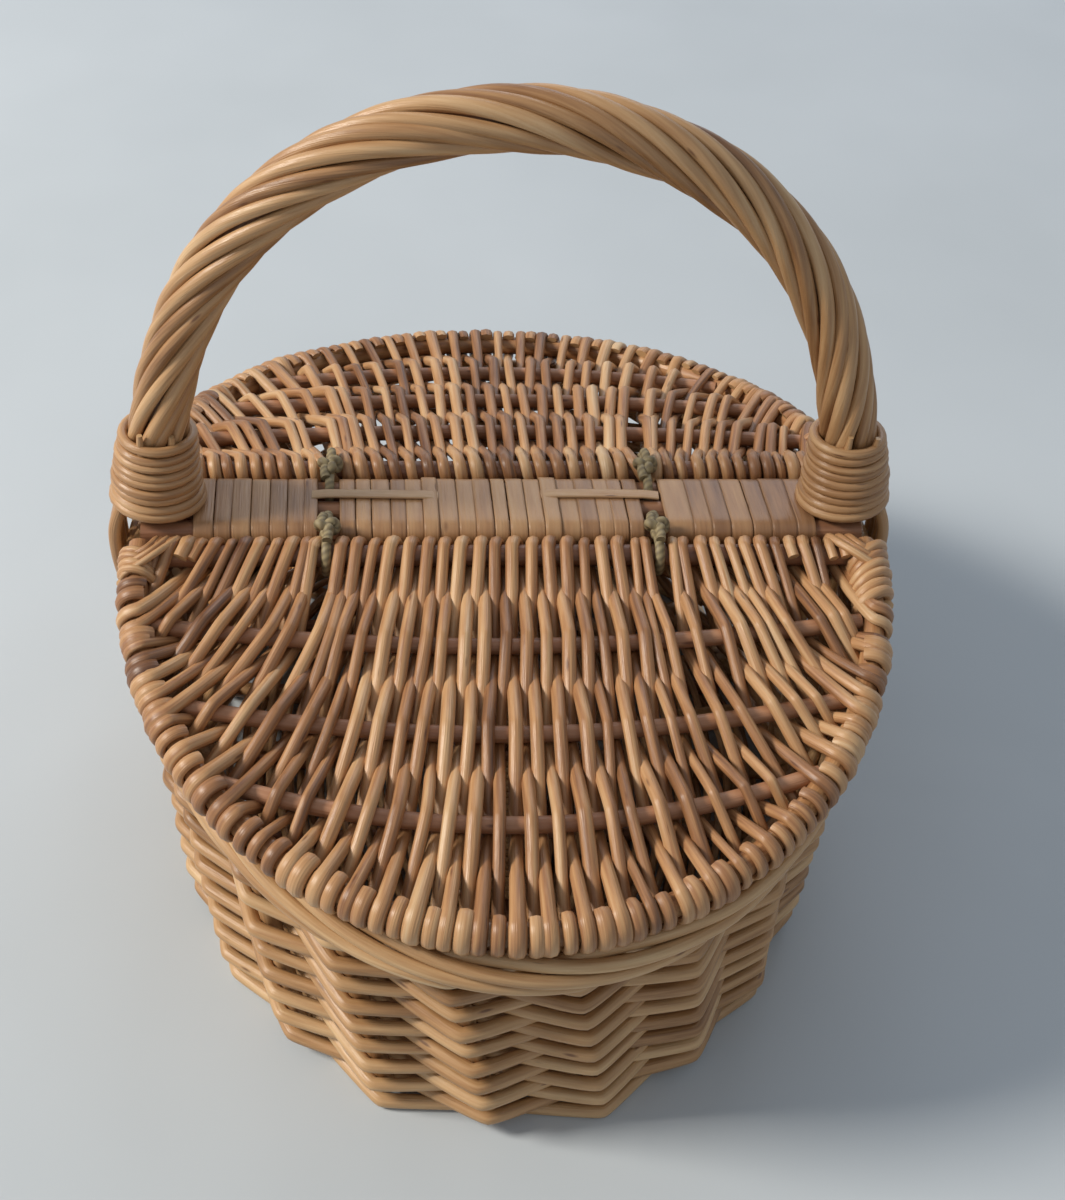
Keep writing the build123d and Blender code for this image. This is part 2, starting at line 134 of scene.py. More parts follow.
world = bpy.data.worlds.new("even_light")
world.use_nodes = True
bpy.context.scene.world = world
tree = world.node_tree
tree.nodes.clear()
ray = add_node(tree, "ShaderNodeLightPath")
seen = add_node(tree, "ShaderNodeMath", {"operation": "MAXIMUM"})
tree.links.new(ray.outputs["Is Camera Ray"], seen.inputs[0])
tree.links.new(ray.outputs["Is Transmission Ray"], seen.inputs[1])
seen_in_gloss = add_node(tree, "ShaderNodeMath", {"operation": "MAXIMUM"})
tree.links.new(seen.outputs["Value"], seen_in_gloss.inputs[0])
tree.links.new(ray.outputs["Is Glossy Ray"], seen_in_gloss.inputs[1])
around = add_node(tree, "ShaderNodeBackground", values={"Color": linear("e6edf5"), "Strength": 0.40})
behind = add_node(tree, "ShaderNodeBackground", values={"Color": linear("cdd3d8"), "Strength": 1.0})
both = add_node(tree, "ShaderNodeMixShader", links={"Fac": seen_in_gloss.outputs["Value"]})
tree.links.new(around.outputs["Background"], both.inputs[1])
tree.links.new(behind.outputs["Background"], both.inputs[2])
add_node(tree, "ShaderNodeOutputWorld", links={"Surface": both.outputs["Shader"]})


def soft_lamp(name, spot, size, power, tone):
    """A square lamp that faces the middle of the basket."""
    data = bpy.data.lights.new(name, "AREA")
    data.size = size
    data.energy = power
    data.color = linear(tone)[:3]
    lamp = bpy.data.objects.new(name, data)
    lamp.location = spot
    lamp.rotation_euler = (lamp_aim - Vector(spot)).to_track_quat("-Z", "Y").to_euler()
    bpy.context.scene.collection.objects.link(lamp)


soft_lamp("window_left", (-2.65, -0.12, 2.05), 0.8, 108.0, "fff7ec")
soft_lamp("behind_fill", (0.6, 2.4, 2.0), 1.8, 16.0, "eef3ff")


# The basket is made of willow rods, boiled to a buff brown, peeled and varnished. Each
# is a little different in shade, with fine fibre streaks along it and small dark bud
# marks. Every rod is a tube round its own middle line, given in millimetres.
MM = 0.001
cut_end_paleness = 0.75


def willow(name, shades, roughness):
    """A rod's material: its tint attribute picks the shade, its UV map is metres along and turns round."""
    material, tree = new_material(name)
    layout = add_node(tree, "ShaderNodeUVMap")
    tint = add_node(tree, "ShaderNodeAttribute", {"attribute_name": "tint"})
    cut = add_node(tree, "ShaderNodeAttribute", {"attribute_name": "cut"})

    def marks(per_metre, per_turn):
        """The UV map in steps of one mark, so many in a metre of rod and so many round it."""
        return add_node(tree, "ShaderNodeMapping", values={"Scale": (per_metre, per_turn, 1.0)},
                        links={"Vector": layout.outputs["UV"]}).outputs["Vector"]

    # on a rod 6 mm thick the streaks are about 29 mm long and 2 mm wide, the blotches 62 by 12 mm
    streak = add_node(tree, "ShaderNodeTexNoise", values={"Scale": 1.0, "Detail": 4.0},
                      links={"Vector": marks(35, 10)})
    blotch = add_node(tree, "ShaderNodeTexNoise", values={"Scale": 1.0, "Detail": 2.0},
                      links={"Vector": marks(16, 1.6)})
    # real fibres are too fine to show, so they are drawn more than half a millimetre wide
    fibre = add_node(tree, "ShaderNodeTexNoise", values={"Scale": 1.0, "Detail": 3.0},
                     links={"Vector": marks(50, 34)})
    both = add_node(tree, "ShaderNodeMath", {"operation": "ADD"})
    tree.links.new(streak.outputs["Fac"], both.inputs[0])
    tree.links.new(blotch.outputs["Fac"], both.inputs[1])
    streak_depth = 0.85
    level = add_node(tree, "ShaderNodeMath", {"operation": "MULTIPLY_ADD"},
                     {1: streak_depth, 2: -streak_depth}, {0: both.outputs["Value"]})
    total = add_node(tree, "ShaderNodeMath", {"operation": "ADD", "use_clamp": True})
    tree.links.new(level.outputs["Value"], total.inputs[0])
    tree.links.new(tint.outputs["Fac"], total.inputs[1])
    ramp = add_node(tree, "ShaderNodeValToRGB", links={"Fac": total.outputs["Value"]})
    stops = ramp.color_ramp.elements
    while len(stops) < len(shades):
        stops.new(0.5)
    for i, code in enumerate(shades):
        stops[i].position = i / (len(shades) - 1)
        stops[i].color = linear(code)
    # bud marks come about every 30 mm: each is 3 mm long and fades over 2 mm more at its ends
    bud = add_node(tree, "ShaderNodeTexVoronoi", values={"Scale": 1.0}, links={"Vector": marks(34, 2.6)})
    mark = add_node(tree, "ShaderNodeMapRange", values={"From Min": 0.05, "From Max": 0.12,
                                                        "To Min": 0.75, "To Max": 0.0},
                    links={"Value": bud.outputs["Distance"]})
    marked = add_node(tree, "ShaderNodeMixRGB", values={"Color2": linear("5b3420")},
                      links={"Fac": mark.outputs["Result"], "Color1": ramp.outputs["Color"]})
    ended = add_node(tree, "ShaderNodeMixRGB", values={"Color2": linear("c9a578")},
                     links={"Fac": cut.outputs["Fac"], "Color1": marked.outputs["Color"]})
    # the varnish is rubbed smoother in some places and duller in others
    worn = add_node(tree, "ShaderNodeMapRange",
                    values={"To Min": roughness - 0.08, "To Max": roughness + 0.14},
                    links={"Value": blotch.outputs["Fac"]})
    rise = add_node(tree, "ShaderNodeBump", values={"Strength": 0.6, "Distance": 0.0004},
                    links={"Height": fibre.outputs["Fac"]})
    surface = add_node(tree, "ShaderNodeBsdfPrincipled", values={"IOR": 1.5},
                       links={"Base Color": ended.outputs["Color"], "Roughness": worn.outputs["Result"],
                              "Normal": rise.outputs["Normal"]})
    add_node(tree, "ShaderNodeOutputMaterial", links={"Surface": surface.outputs["BSDF"]})
    return material


def rod_rings(rod, sides):
    """A rod's rings of points, and how far along the rod each ring is, in millimetres."""
    path = np.asarray(rod["path"], float)
    count = len(path)
    ahead = np.gradient(path, axis=0)
    ahead /= np.linalg.norm(ahead, axis=1)[:, None] + 1e-12
    if rod.get("up") is None:
        normal = np.zeros((count, 3))
        first = np.array([0.0, 0.0, 1.0]) if abs(ahead[0][2]) < 0.9 else np.array([1.0, 0.0, 0.0])
        for i in range(count):
            first = first - ahead[i] * first.dot(ahead[i])
            first /= np.linalg.norm(first)
            normal[i] = first
    else:
        normal = np.asarray(rod["up"], float)
        normal = normal - ahead * (normal * ahead).sum(1)[:, None]
        normal /= np.linalg.norm(normal, axis=1)[:, None]
    across = np.cross(ahead, normal)
    turn = 2 * math.pi * np.arange(sides) / sides - math.pi / 2
    power = rod.get("square", 1.0)
    wide = np.sign(np.cos(turn)) * np.abs(np.cos(turn)) ** power
    high = np.sign(np.sin(turn)) * np.abs(np.sin(turn)) ** power
    width = np.broadcast_to(rod["r"], count)[:, None, None]
    thick = np.broadcast_to(rod.get("thick", rod["r"]), count)[:, None, None]
    rings = path[:, None] + across[:, None] * wide[:, None] * width + normal[:, None] * high[:, None] * thick
    return rings, np.concatenate([[0], np.cumsum(np.linalg.norm(np.diff(path, axis=0), axis=1))])


def lay_rods(name, rods, sides, body, material, nodes):
    """One piece made of many rods, with the UV map and attributes that the willow reads."""
    verts, faces, uvs, tints, cuts = [], [], [], [], []
    base = 0
    chance = random.Random(name)
    for rod in rods:
        rings, far_along = rod_rings(rod, sides)
        count = len(rings)
        start = chance.uniform(0, 5)         # each rod shows its own stretch of the pattern
        closed = rod.get("closed", False)
        verts.append(rings.reshape(-1, 3))
        i = np.arange(count if closed else count - 1)[:, None]
        j = np.arange(sides)[None, :]
        nxt, beside = (i + 1) % count, (j + 1) % sides
        quad = np.stack([i * sides + j, i * sides + beside, nxt * sides + beside, nxt * sides + j], -1)
        faces += (quad.reshape(-1, 4) + base).tolist()
        u = start + far_along * MM
        u_next = np.append(u[1:], 2 * u[-1] - u[-2])
        low_u = np.broadcast_to(u[:len(i)][:, None], (len(i), sides))
        high_u = np.broadcast_to(u_next[:len(i)][:, None], (len(i), sides))
        low_v = np.broadcast_to(j / sides, (len(i), sides))
        high_v = low_v + 1 / sides
        uvs.append(np.stack([low_u, low_v, low_u, high_v, high_u, high_v, high_u, low_v], -1).reshape(-1, 2))
        tints += [rod["tint"]] * (count * sides)
        cuts += [0.0] * (count * sides)
        base += count * sides
        if not closed:
            for ring, turned_over in ((rings[0], True), (rings[-1], False)):
                verts.append(ring)
                order = list(range(base, base + sides))
                faces.append(order[::-1] if turned_over else order)
                uvs.append(np.tile([[start, 0.5]], (sides, 1)))
                tints += [rod["tint"]] * sides
                cuts += [cut_end_paleness] * sides
                base += sides
    mesh = bpy.data.meshes.new(name)
    mesh.from_pydata((np.concatenate(verts) * MM).tolist(), [], faces)
    layer = mesh.uv_layers.new(name="UVMap")
    layer.data.foreach_set("uv", np.concatenate(uvs).astype(np.float32).ravel())
    for key, values in (("tint", tints), ("cut", cuts)):
        attribute = mesh.attributes.new(key, "FLOAT", "POINT")
        attribute.data.foreach_set("value", np.array(values, np.float32))
    mesh.polygons.foreach_set("use_smooth", [len(f) == 4 for f in faces])
    mesh.materials.append(material)
    piece = bpy.data.objects.new(name, mesh)
    bpy.context.scene.collection.objects.link(piece)
    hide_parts(*nodes)
    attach(piece, body)


def some_tint(dice, shade, spread, low, high):
    """A rod's own shade, drawn near the one that is wanted."""
    return min(high, max(low, dice.gauss(shade, spread)))


# The sides stand on 24 stakes that lean round the basket: each foot is well over half
# a stake further on than its top. Everything in the wall is placed by stake number,
# height and distance out from the middle of the stakes.
stake_count = 24
stake_r = 4.0
stake_turn = 0.18            # stakes between the front centre and the first stake's top
stake_lean = 0.62            # stakes that each foot is further round than its top
proud = 9.5                  # how far the weave and border stand out from the stakes' middles
foot_outer = (145.5, 198.0)
foot_half = (foot_outer[0] - proud, foot_outer[1] - proud)
near_rim_z = 100.0
border_h = 11.0
front_slope = math.radians(11.0)
rear_slope = math.radians(13.5)
lid_wrap_r = 9.0
lid_gap = 0.4
hinge_y = -frame["joints"][0]["pos_m"][1] / MM
bar_z = frame["joints"][0]["pos_m"][2] / MM
seat_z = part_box("bar_rod_front")[0].z / MM
rim_half_x, rim_half_y = (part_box("border")[1].x / MM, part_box("border")[1].y / MM)


def roof(y):
    """Height of the border's top under the lids."""
    slope = np.where(np.asarray(y) < 0, front_slope, rear_slope)
    under_lid = bar_z - (lid_wrap_r + lid_gap) / np.cos(slope) - (np.abs(y) - hinge_y) * np.tan(slope)
    return np.minimum(under_lid, seat_z)


def even_round(half_x, half_y, s):
    """Points and outward normals along an oval, where s counts stakes from the front centre."""
    turn = np.linspace(-math.pi / 2, 1.5 * math.pi, 2881)
    middle = (turn[1:] + turn[:-1]) / 2
    arc = np.concatenate([[0], np.cumsum(np.hypot(half_x * np.sin(middle), half_y * np.cos(middle)))])
    goal = arc[-1] * ((np.asarray(s) / stake_count) % 1)
    angle = np.interp(goal, arc, turn)
    normal = np.stack([np.cos(angle) / half_x, np.sin(angle) / half_y], -1)
    normal /= np.linalg.norm(normal, axis=1)[:, None]
    return np.stack([half_x * np.cos(angle), half_y * np.sin(angle)], -1), normal


every_stake = np.arange(stake_count)
# the rim dips to the front and back, so the wall's slope is carried on up to the bar's seat
top_half_y = foot_outer[1] + (rim_half_y - foot_outer[1]) * seat_z / float(roof(-rim_half_y))
foot_at, foot_out = even_round(*foot_half, every_stake + stake_turn + stake_lean)
top_at, top_out = even_round(rim_half_x - proud, top_half_y - proud, every_stake + stake_turn)


def wall_at(s, z, out):
    """Points of the wall: s counts stakes, with straight runs between them."""
    s, z, out = np.broadcast_arrays(np.asarray(s, float), z, out)
    k = np.floor(s).astype(int)
    u = (s - k)[:, None]
    rise = (z / seat_z)[:, None]

    def stake(n):
        n = n % stake_count
        spot = foot_at[n] + (top_at[n] - foot_at[n]) * rise
        return spot + (foot_out[n] + (top_out[n] - foot_out[n]) * rise) * out[:, None]

    flat = stake(k) * (1 - u) + stake(k + 1) * u
    return np.column_stack([flat, z])


def under_border(s):
    """Height of the border's underside at a place along the wall."""
    s = np.asarray(s, float)
    return roof(wall_at(s, np.full(s.shape, near_rim_z), 0.0)[:, 1]) - border_h


# The side weave is single buff rods, each in front of one stake and behind the next. The
# rim is higher at the handle, so pairs of short rows pack the sides out to it.
side_rod_r = 3.1
row_pitch = 6.4
foot_weave_h = 13.0
full_rows = 14
rows_before_pair = [5, 8, 10, 12]
pair_from = 0.5          # rows of extra height at which a packing pair begins
pair_growth = 0.7        # rows of extra height over which it comes to its full thickness
knee = 0.055             # how sharply a rod bends round a stake, in stakes
run_steps = [0.0, 0.03, 0.07, 0.13, 0.22, 0.36, 0.5, 0.64, 0.78, 0.87, 0.93, 0.97]
row_wobble = 0.45        # how unevenly the rods are beaten down
butt_run = 0.32          # stakes that a rod's thick end runs back behind its first stake
tip_run = 0.28           # stakes that its thin end runs on past its last
tip_share = 0.84         # a tip's thickness against its butt's
pack_tip_share = 0.85
side_tint = 0.58
tint_spread = 0.16
# boiled, peeled and varnished willow runs from toffee to straw, with a soft sheen
wall_willow = willow("buff_willow_boiled_peeled_varnished",
                     ["6a482c", "8f6740", "b0865a", "c39c6f", "d2b083"], 0.36)
chance = random.Random(7)
rise_at = (under_border(every_stake) - under_border(every_stake).min()) / row_pitch


def pair_share(p):
    """How fully a packing pair is there, at each stake."""
    x = np.clip((rise_at - (2 * p + pair_from)) / pair_growth, 0, 1)
    return x * x * (3 - 2 * x)


layers = []
pair = 0
for row in range(full_rows):
    layers.append(("row", np.ones(stake_count)))
    if pair < len(rows_before_pair) and row + 1 == rows_before_pair[pair]:
        layers += [("pack", pair_share(pair)), ("pack", pair_share(pair))]
        pair += 1
weights = np.array([share for kind, share in layers])
pitch_at = (under_border(every_stake) - foot_weave_h) / weights.sum(0)
row_z = foot_weave_h + (np.cumsum(weights, 0) - weights / 2) * pitch_at


def across_stakes(u):
    """1 in front of a stake, -1 behind the next, straight in between and bent at both."""
    near = np.minimum(u, 1 - u)
    bend = (np.sqrt(near ** 2 + knee ** 2) - knee) / (math.sqrt(0.25 + knee ** 2) - knee)
    return np.where(u < 0.5, 1 - bend, bend - 1)


def woven_rod(s_from, s_to, row, heights, r_from, r_to, tint, swing=1.0):
    """One rod in and out of the stakes, from one place along the wall to another."""
    s = np.array([k + u for k in range(math.floor(s_from), math.ceil(s_to)) for u in run_steps])
    s = np.concatenate([[s_from], s[(s > s_from) & (s < s_to)], [s_to]])
    k = np.floor(s).astype(int)
    u = s - k
    side = np.where((k + row) % 2 == 0, 1.0, -1.0)
    r = np.interp(s, [s_from, s_to], [r_from, r_to])
    wobble = np.array([chance.uniform(-row_wobble, row_wobble) for n in range(stake_count)])
    level = (heights + wobble)[k % stake_count] * (1 - u) + (heights + wobble)[(k + 1) % stake_count] * u
    level = np.maximum(level, r)         # nothing dips below the floor
    return {"path": wall_at(s, level, side * across_stakes(u) * (stake_r + r) * swing), "r": r, "tint": tint}


def row_of_rods(row, heights, r, shade, swing=1.0):
    """A full round of the basket, in two or three rods that meet behind a stake."""
    rods = []
    joins = sorted(chance.sample(range(0, stake_count, 2), chance.choice([2, 3])))
    joins = [k + (row + 1) % 2 for k in joins]
    for a, b in zip(joins, joins[1:] + [joins[0] + stake_count]):
        big = r * chance.uniform(0.92, 1.1)
        rods.append(woven_rod(a - butt_run, b + tip_run, row, heights, big, big * tip_share,
                              some_tint(chance, shade, tint_spread, 0.05, 0.95), swing))
    return rods


side_rods = []
for row, (kind, share) in enumerate(layers):
    if kind == "row":
        side_rods += row_of_rods(row, row_z[row], side_rod_r, side_tint)
        continue
    there = share > 0.5
    starts = [k for k in every_stake if there[k] and not there[k - 1]]
    for k in starts:
        end = k
        while there[(end + 1) % stake_count] and end < k + stake_count - 1:
            end += 1
        # an end is tucked in behind a stake: the last one, or else the next
        run_back = 0.25 if (k + row) % 2 == 1 else 0.9
        run_on = 0.25 if (end + row) % 2 == 1 else 0.9
        side_rods.append(woven_rod(k - run_back, end + run_on, row, row_z[row],
                                   side_rod_r, side_rod_r * pack_tip_share,
                                   some_tint(chance, side_tint, tint_spread, 0.05, 0.95)))
lay_rods("side_weave", side_rods, 10, "basket", wall_willow, ["siding"])

# The foot is two rounds of stouter buff rod, woven tight round the stakes below the
# sides. The basket stands on them.
foot_row_z = (3.3, 9.6)
foot_row_r = 3.2
foot_tint = 0.55
foot_swing = 0.72        # pulled tight, they go less far round the stakes
foot_rods = []
for row, z in enumerate(foot_row_z):
    foot_rods += row_of_rods(row, np.full(stake_count, z), foot_row_r, foot_tint, foot_swing)
lay_rods("foot_weave", foot_rods, 12, "basket", wall_willow, ["foot_wale"])

# The stakes are stouter rods. Each is pushed into the base beside its sticks, pricked
# up at the foot and runs straight to the rim.
stake_tail_out = np.array([-42.0, -26.0, -12.0, -4.0])
stake_tail_z = np.array([7.5, 7.5, 7.2, 6.8])
stake_from_z = 9.0
stake_ease = 0.2         # a stake is this much thinner than the bends round it, so they don't cut into it
rise_points = 12


def smooth_line(points, per_run):
    """A smooth line through all the points."""
    p = np.asarray(points, float)
    p = np.vstack([2 * p[0] - p[1], p, 2 * p[-1] - p[-2]])
    t = np.linspace(0, 1, per_run, endpoint=False)[:, None]
    out = []
    for a, b, c, d in zip(p[:-3], p[1:-2], p[2:-1], p[3:]):
        out.append(0.5 * (2 * b + (c - a) * t + (2 * a - 5 * b + 4 * c - d) * t ** 2
                          + (3 * b - a - 3 * c + d) * t ** 3))
    out.append(p[-2:-1])
    return np.vstack(out)


stake_rods = []
for k in range(stake_count):
    z = np.linspace(stake_from_z, float(under_border([k])[0]) - 2, rise_points)
    upright = wall_at(np.full(rise_points, k), z, 0.0)
    tail = wall_at(np.full(len(stake_tail_z), k), stake_tail_z, stake_tail_out)
    stake_rods.append({"path": smooth_line(np.vstack([tail, upright]), 4), "r": stake_r - stake_ease,
                       "tint": chance.uniform(0.4, 0.7)})
lay_rods("stake_sticks", stake_rods, 10, "basket", wall_willow, ["stakes"])

# The border is the stakes' thin ends, bent down to the right. Each runs on along the
# outside for three stakes and is cut to a point below; shorter ends lie along the inside.
# A lane's points are stakes along, height above the border's foot and distance out.
outer_lane = [(0.0, -7.0, 0.0), (0.0, 1.0, 0.0), (0.1, 5.2, 0.0), (0.35, 8.2, 0.1), (0.7, 8.6, 1.4),
              (1.1, 7.9, 3.6), (1.5, 6.6, 5.4), (2.0, 4.1, 6.3), (2.5, 1.5, 6.2), (3.0, -0.5, 5.6),
              (3.3, -1.6, 4.9)]
inner_lane = [(0.0, -7.0, -1.5), (0.1, 0.5, -3.2), (0.35, 4.6, -4.6), (0.8, 6.6, -5.0), (1.3, 5.4, -5.0),
              (1.8, 1.6, -4.6)]
lift_wander = 0.4
out_wander = 0.3
pointed_end = (0.95, 0.8, 0.5)
border_rods = []
for k in range(stake_count):
    for lane, r_from, r_to in ((outer_lane, 3.0, 2.5), (inner_lane, 2.7, 2.3)):
        s = np.array([k + p[0] for p in lane])
        lift = np.array([p[1] + chance.uniform(-lift_wander, lift_wander) for p in lane])
        out = np.array([p[2] + chance.uniform(-out_wander, out_wander) for p in lane])
        points = smooth_line(np.column_stack([s, lift, out]), 7)
        rim, rim_out = even_round(rim_half_x - proud, top_half_y - proud, points[:, 0] + stake_turn)
        flat = rim + rim_out * points[:, 2:]
        level = roof(flat[:, 1]) - border_h + points[:, 1]
        r = np.linspace(r_from, r_to, len(points))
        r[-3:] *= pointed_end
        border_rods.append({"path": np.column_stack([flat, level]), "r": r,
                            "tint": chance.uniform(0.5, 0.85)})
lay_rods("border_rods", border_rods, 12, "basket", wall_willow, ["border"])

# The base is an oval woven round eight sticks: three long brown ones, which go through
# splits in five short ones. Thin buff rods go round and round, over and under, and bind
# the long sticks together between the short ones.
stick_z = 8.0
long_stick_x = (-16.0, 0.0, 16.0)
long_stick_half = 175.0
long_stick_r = 3.0
short_stick_y = (-96.0, -48.0, 0.0, 48.0, 96.0)
short_stick_r = 3.6
short_stick_gap = 4.0    # from a short stick's end to the base's last row
base_rod_r = 1.75
base_rows = 23
base_waves = 9
base_gap = 3.0           # between the base's last row and the weave's inside
base_inner = (22.0, 104.0)
base_outer = (foot_half[0] - proud - base_gap, foot_half[1] - proud - base_gap)
binding_pitch = 3.9
binding_end_y = 102.0
binding_half = (19.5, 4.4)       # half the width and height of a turn round the long sticks
clear_of_stick = 6.0
# rods boiled in their bark and rubbed down are redder and browner than peeled ones
stick_willow = willow("brown_willow_sticks_boiled_in_the_bark",
                      ["603d2a", "855a40", "a47453", "b98a69"], 0.42)
base_rods = []
for row in range(base_rows):
    share = row / (base_rows - 1)
    half_x = base_inner[0] + (base_outer[0] - base_inner[0]) * share
    half_y = base_inner[1] + (base_outer[1] - base_inner[1]) * share
    turn = np.linspace(0, 2 * math.pi, 192, endpoint=False)
    wave = np.cos(turn * base_waves) * (1 if row % 2 else -1) * (short_stick_r + base_rod_r) * 0.95
    path = np.column_stack([half_x * np.cos(turn), half_y * np.sin(turn), stick_z + wave])
    base_rods.append({"path": path, "r": base_rod_r, "closed": True, "tint": chance.uniform(0.35, 0.75)})
for y in np.arange(-binding_end_y, binding_end_y + 0.1, binding_pitch):
    if min(abs(y - crossing) for crossing in short_stick_y) > clear_of_stick:
        turn = np.linspace(0, 2 * math.pi, 28, endpoint=False)
        out = binding_half[0] * np.sign(np.cos(turn)) * np.abs(np.cos(turn)) ** 0.5
        path = np.column_stack([out, y + 0 * turn, stick_z + binding_half[1] * np.sin(turn)])
        base_rods.append({"path": path, "r": base_rod_r, "closed": True, "tint": chance.uniform(0.35, 0.75)})
lay_rods("base_rods", base_rods, 8, "basket", wall_willow, ["base_weave"])


def base_stick(ends, r):
    """A straight stick of the base from one place on the floor plan to another."""
    run = np.linspace(0, 1, 9)[:, None]
    flat = np.array(ends[0]) * (1 - run) + np.array(ends[1]) * run
    return {"path": np.column_stack([flat, np.full(9, stick_z)]), "r": r, "tint": chance.uniform(0.4, 0.7)}


long_sticks = []
for x in long_stick_x:
    long_sticks.append(base_stick([(x, -long_stick_half), (x, long_stick_half)], long_stick_r))
lay_rods("base_sticks_along", long_sticks, 10, "basket", stick_willow, ["base_sticks_long"])
short_sticks = []
for y in short_stick_y:
    half = base_outer[0] * math.sqrt(1 - (y / base_outer[1]) ** 2) - short_stick_gap
    short_sticks.append(base_stick([(-half, y), (half, y)], short_stick_r))
lay_rods("base_sticks_across", short_sticks, 10, "basket", stick_willow,
         ["base_sticks_short"])

# The bar is three stout brown rods side by side, cut square. Their bare ends rest on
# the border beside the handle's feet.
bar_rod_r = 4.8
bar_pitch = 12.9
outer_bar_half = 148.0
middle_bar_half = 136.2
bar_wander = 0.25
for word, y, half in (("front", -bar_pitch, outer_bar_half), ("middle", 0.0, middle_bar_half),
                      ("rear", bar_pitch, outer_bar_half)):
    x = np.linspace(-half, half, 40)
    wander = np.array([chance.uniform(-bar_wander, bar_wander) for n in x])
    wander = np.convolve(np.pad(wander, 3, mode="edge"), np.ones(7) / 7, mode="valid")
    stick = {"path": np.column_stack([x, y + wander, np.full(40, bar_z)]), "r": bar_rod_r, "tint": 0.55}
    lay_rods("bar_stick_" + word, [stick], 14, "basket", stick_willow, ["bar_rod_" + word])

# The bar is bound with skein: willow split and shaved to a flat ribbon, wound on damp
# with its turns laid close. It is smooth and a little pinker than a whole rod.
skein = willow("split_willow_skein_shaved", ["77543a", "936d4c", "aa815b", "ba9269", "c6a279"], 0.36)
skein_r = bar_rod_r + 0.85
skein_half_thick = 0.5
flat_edge = 0.42             # how square the ribbon's section is: 1 is round, 0 is square
strip_ends = (-29.5, 16.5)   # where the laid strips are tucked under a strap
over_strip_lift = 0.8
near_end = 1.5               # a strap that comes this near to a strip's end lies over it


def strap(x_from, x_to, width, tint):
    """One turn of skein round the three rods, from its start under the bar to its end."""
    quarter = np.linspace(-math.pi / 2, math.pi / 2, 9)
    y = np.concatenate([np.linspace(0, bar_pitch, 5)[:-1], bar_pitch + skein_r * np.cos(quarter),
                        np.linspace(bar_pitch, -bar_pitch, 11)[1:-1], -bar_pitch - skein_r * np.cos(-quarter),
                        np.linspace(-bar_pitch, 0, 5)[1:]])
    z = np.concatenate([np.full(4, -skein_r), skein_r * np.sin(quarter), np.full(9, skein_r),
                        skein_r * np.sin(-quarter), np.full(4, -skein_r)])
    share = np.linspace(0, 1, len(y))
    out = np.column_stack([np.zeros(len(y)), np.sign(y) * np.maximum(np.abs(y) - bar_pitch, 0), z])
    path = np.column_stack([x_from + (x_to - x_from) * share, y, bar_z + z])
    return {"path": path[::-1], "up": out[::-1], "r": width / 2, "thick": skein_half_thick,
            "square": flat_edge, "tint": tint}


def bound_section(name, x_from, x_to, turns, tint_from, tint_to, node):
    """A bound stretch of the bar, its straps of uneven width."""
    parts = np.array([chance.uniform(0.8, 1.2) for n in range(turns)])
    edges = x_from + (x_to - x_from) * np.concatenate([[0], np.cumsum(parts) / parts.sum()])
    straps = []
    for k in range(turns):
        width = edges[k + 1] - edges[k]
        middle = (edges[k] + edges[k + 1]) / 2
        slant = min(1.6, width * 0.2)
        tint = tint_from + (tint_to - tint_from) * k / turns + chance.uniform(-0.2, 0.2)
        start = middle - slant + chance.uniform(-0.4, 0.4)
        one = strap(start, middle + slant, width + chance.uniform(-0.4, 0.5), tint)
        over_strip = any(edges[k] - near_end < end < edges[k + 1] for end in strip_ends)
        lift = over_strip_lift if over_strip else chance.uniform(-0.1, 0.3)
        one["path"] = one["path"] + one["up"] / skein_r * lift
        straps.append(one)
    lay_rods(name, straps, 12, "basket", skein, [node])


bound_section("bar_skein_left", -127.6, -77.5, 7, 0.45, 0.5, "bar_wrap_left")
bound_section("bar_skein_middle", -68.5, 56.5, 18, 0.6, 0.55, "bar_wrap_middle")
bound_section("bar_skein_right", 65.5, 127.6, 7, 0.45, 0.1, "bar_wrap_right")


# A thin pale strip of skein is laid along the bar's top at each end of the middle
# binding. It crosses the gap at the tie and is tucked under a strap.
strip_half_width = 2.7
strip_half_thick = 0.55
strip_y = 3.4
strip_above = 0.75       # from the skein's outside to the strip's middle
strip_press = 0.7        # how far its ends are pressed down
press_length = 6.0


def laid_strip(name, x_from, x_to, node):
    """A flat strip along the top of the bar, its ends pressed down."""
    x = np.linspace(x_from, x_to, 24)
    top = bar_z + skein_r + skein_half_thick + strip_above
    ends = np.clip(np.minimum(x - x_from, x_to - x) / press_length, 0, 1)
    path = np.column_stack([x, strip_y + 0.4 * np.sin(x / 17), top - strip_press * (1 - ends)])
    strip = {"path": path, "up": np.tile([0.0, 0.0, 1.0], (24, 1)), "r": strip_half_width,
             "thick": strip_half_thick, "square": flat_edge, "tint": 0.9}
    lay_rods(name, [strip], 12, "basket", skein, [node])


laid_strip("laid_strip_left", -80.0, -28.0, "bar_listing_left")
laid_strip("laid_strip_right", 15.0, 64.5, "bar_listing_right")

# The handle is roped: ten buff rods are twisted side by side round a stout bow, from
# foot to foot. It is an arch of three bends, round on top and flatter down its sides.
handle_half = 142.0
handle_top_z = 330.0
handle_foot_z = 161.1
top_bend_r = 134.8
foot_swell_h = 40.0          # over this height the rope thickens towards its foot
rope_r = 12.0
rope_foot_r = 12.8
strand_count = 10
strand_r = 2.9
rope_turns = 2.6
# the roping is polished by hands, so it is a little shinier than the wall
handle_willow = willow("buff_willow_roped_and_hand_polished",
                       ["64422b", "8b633f", "aa8056", "c0986c", "d0ae84"], 0.32)


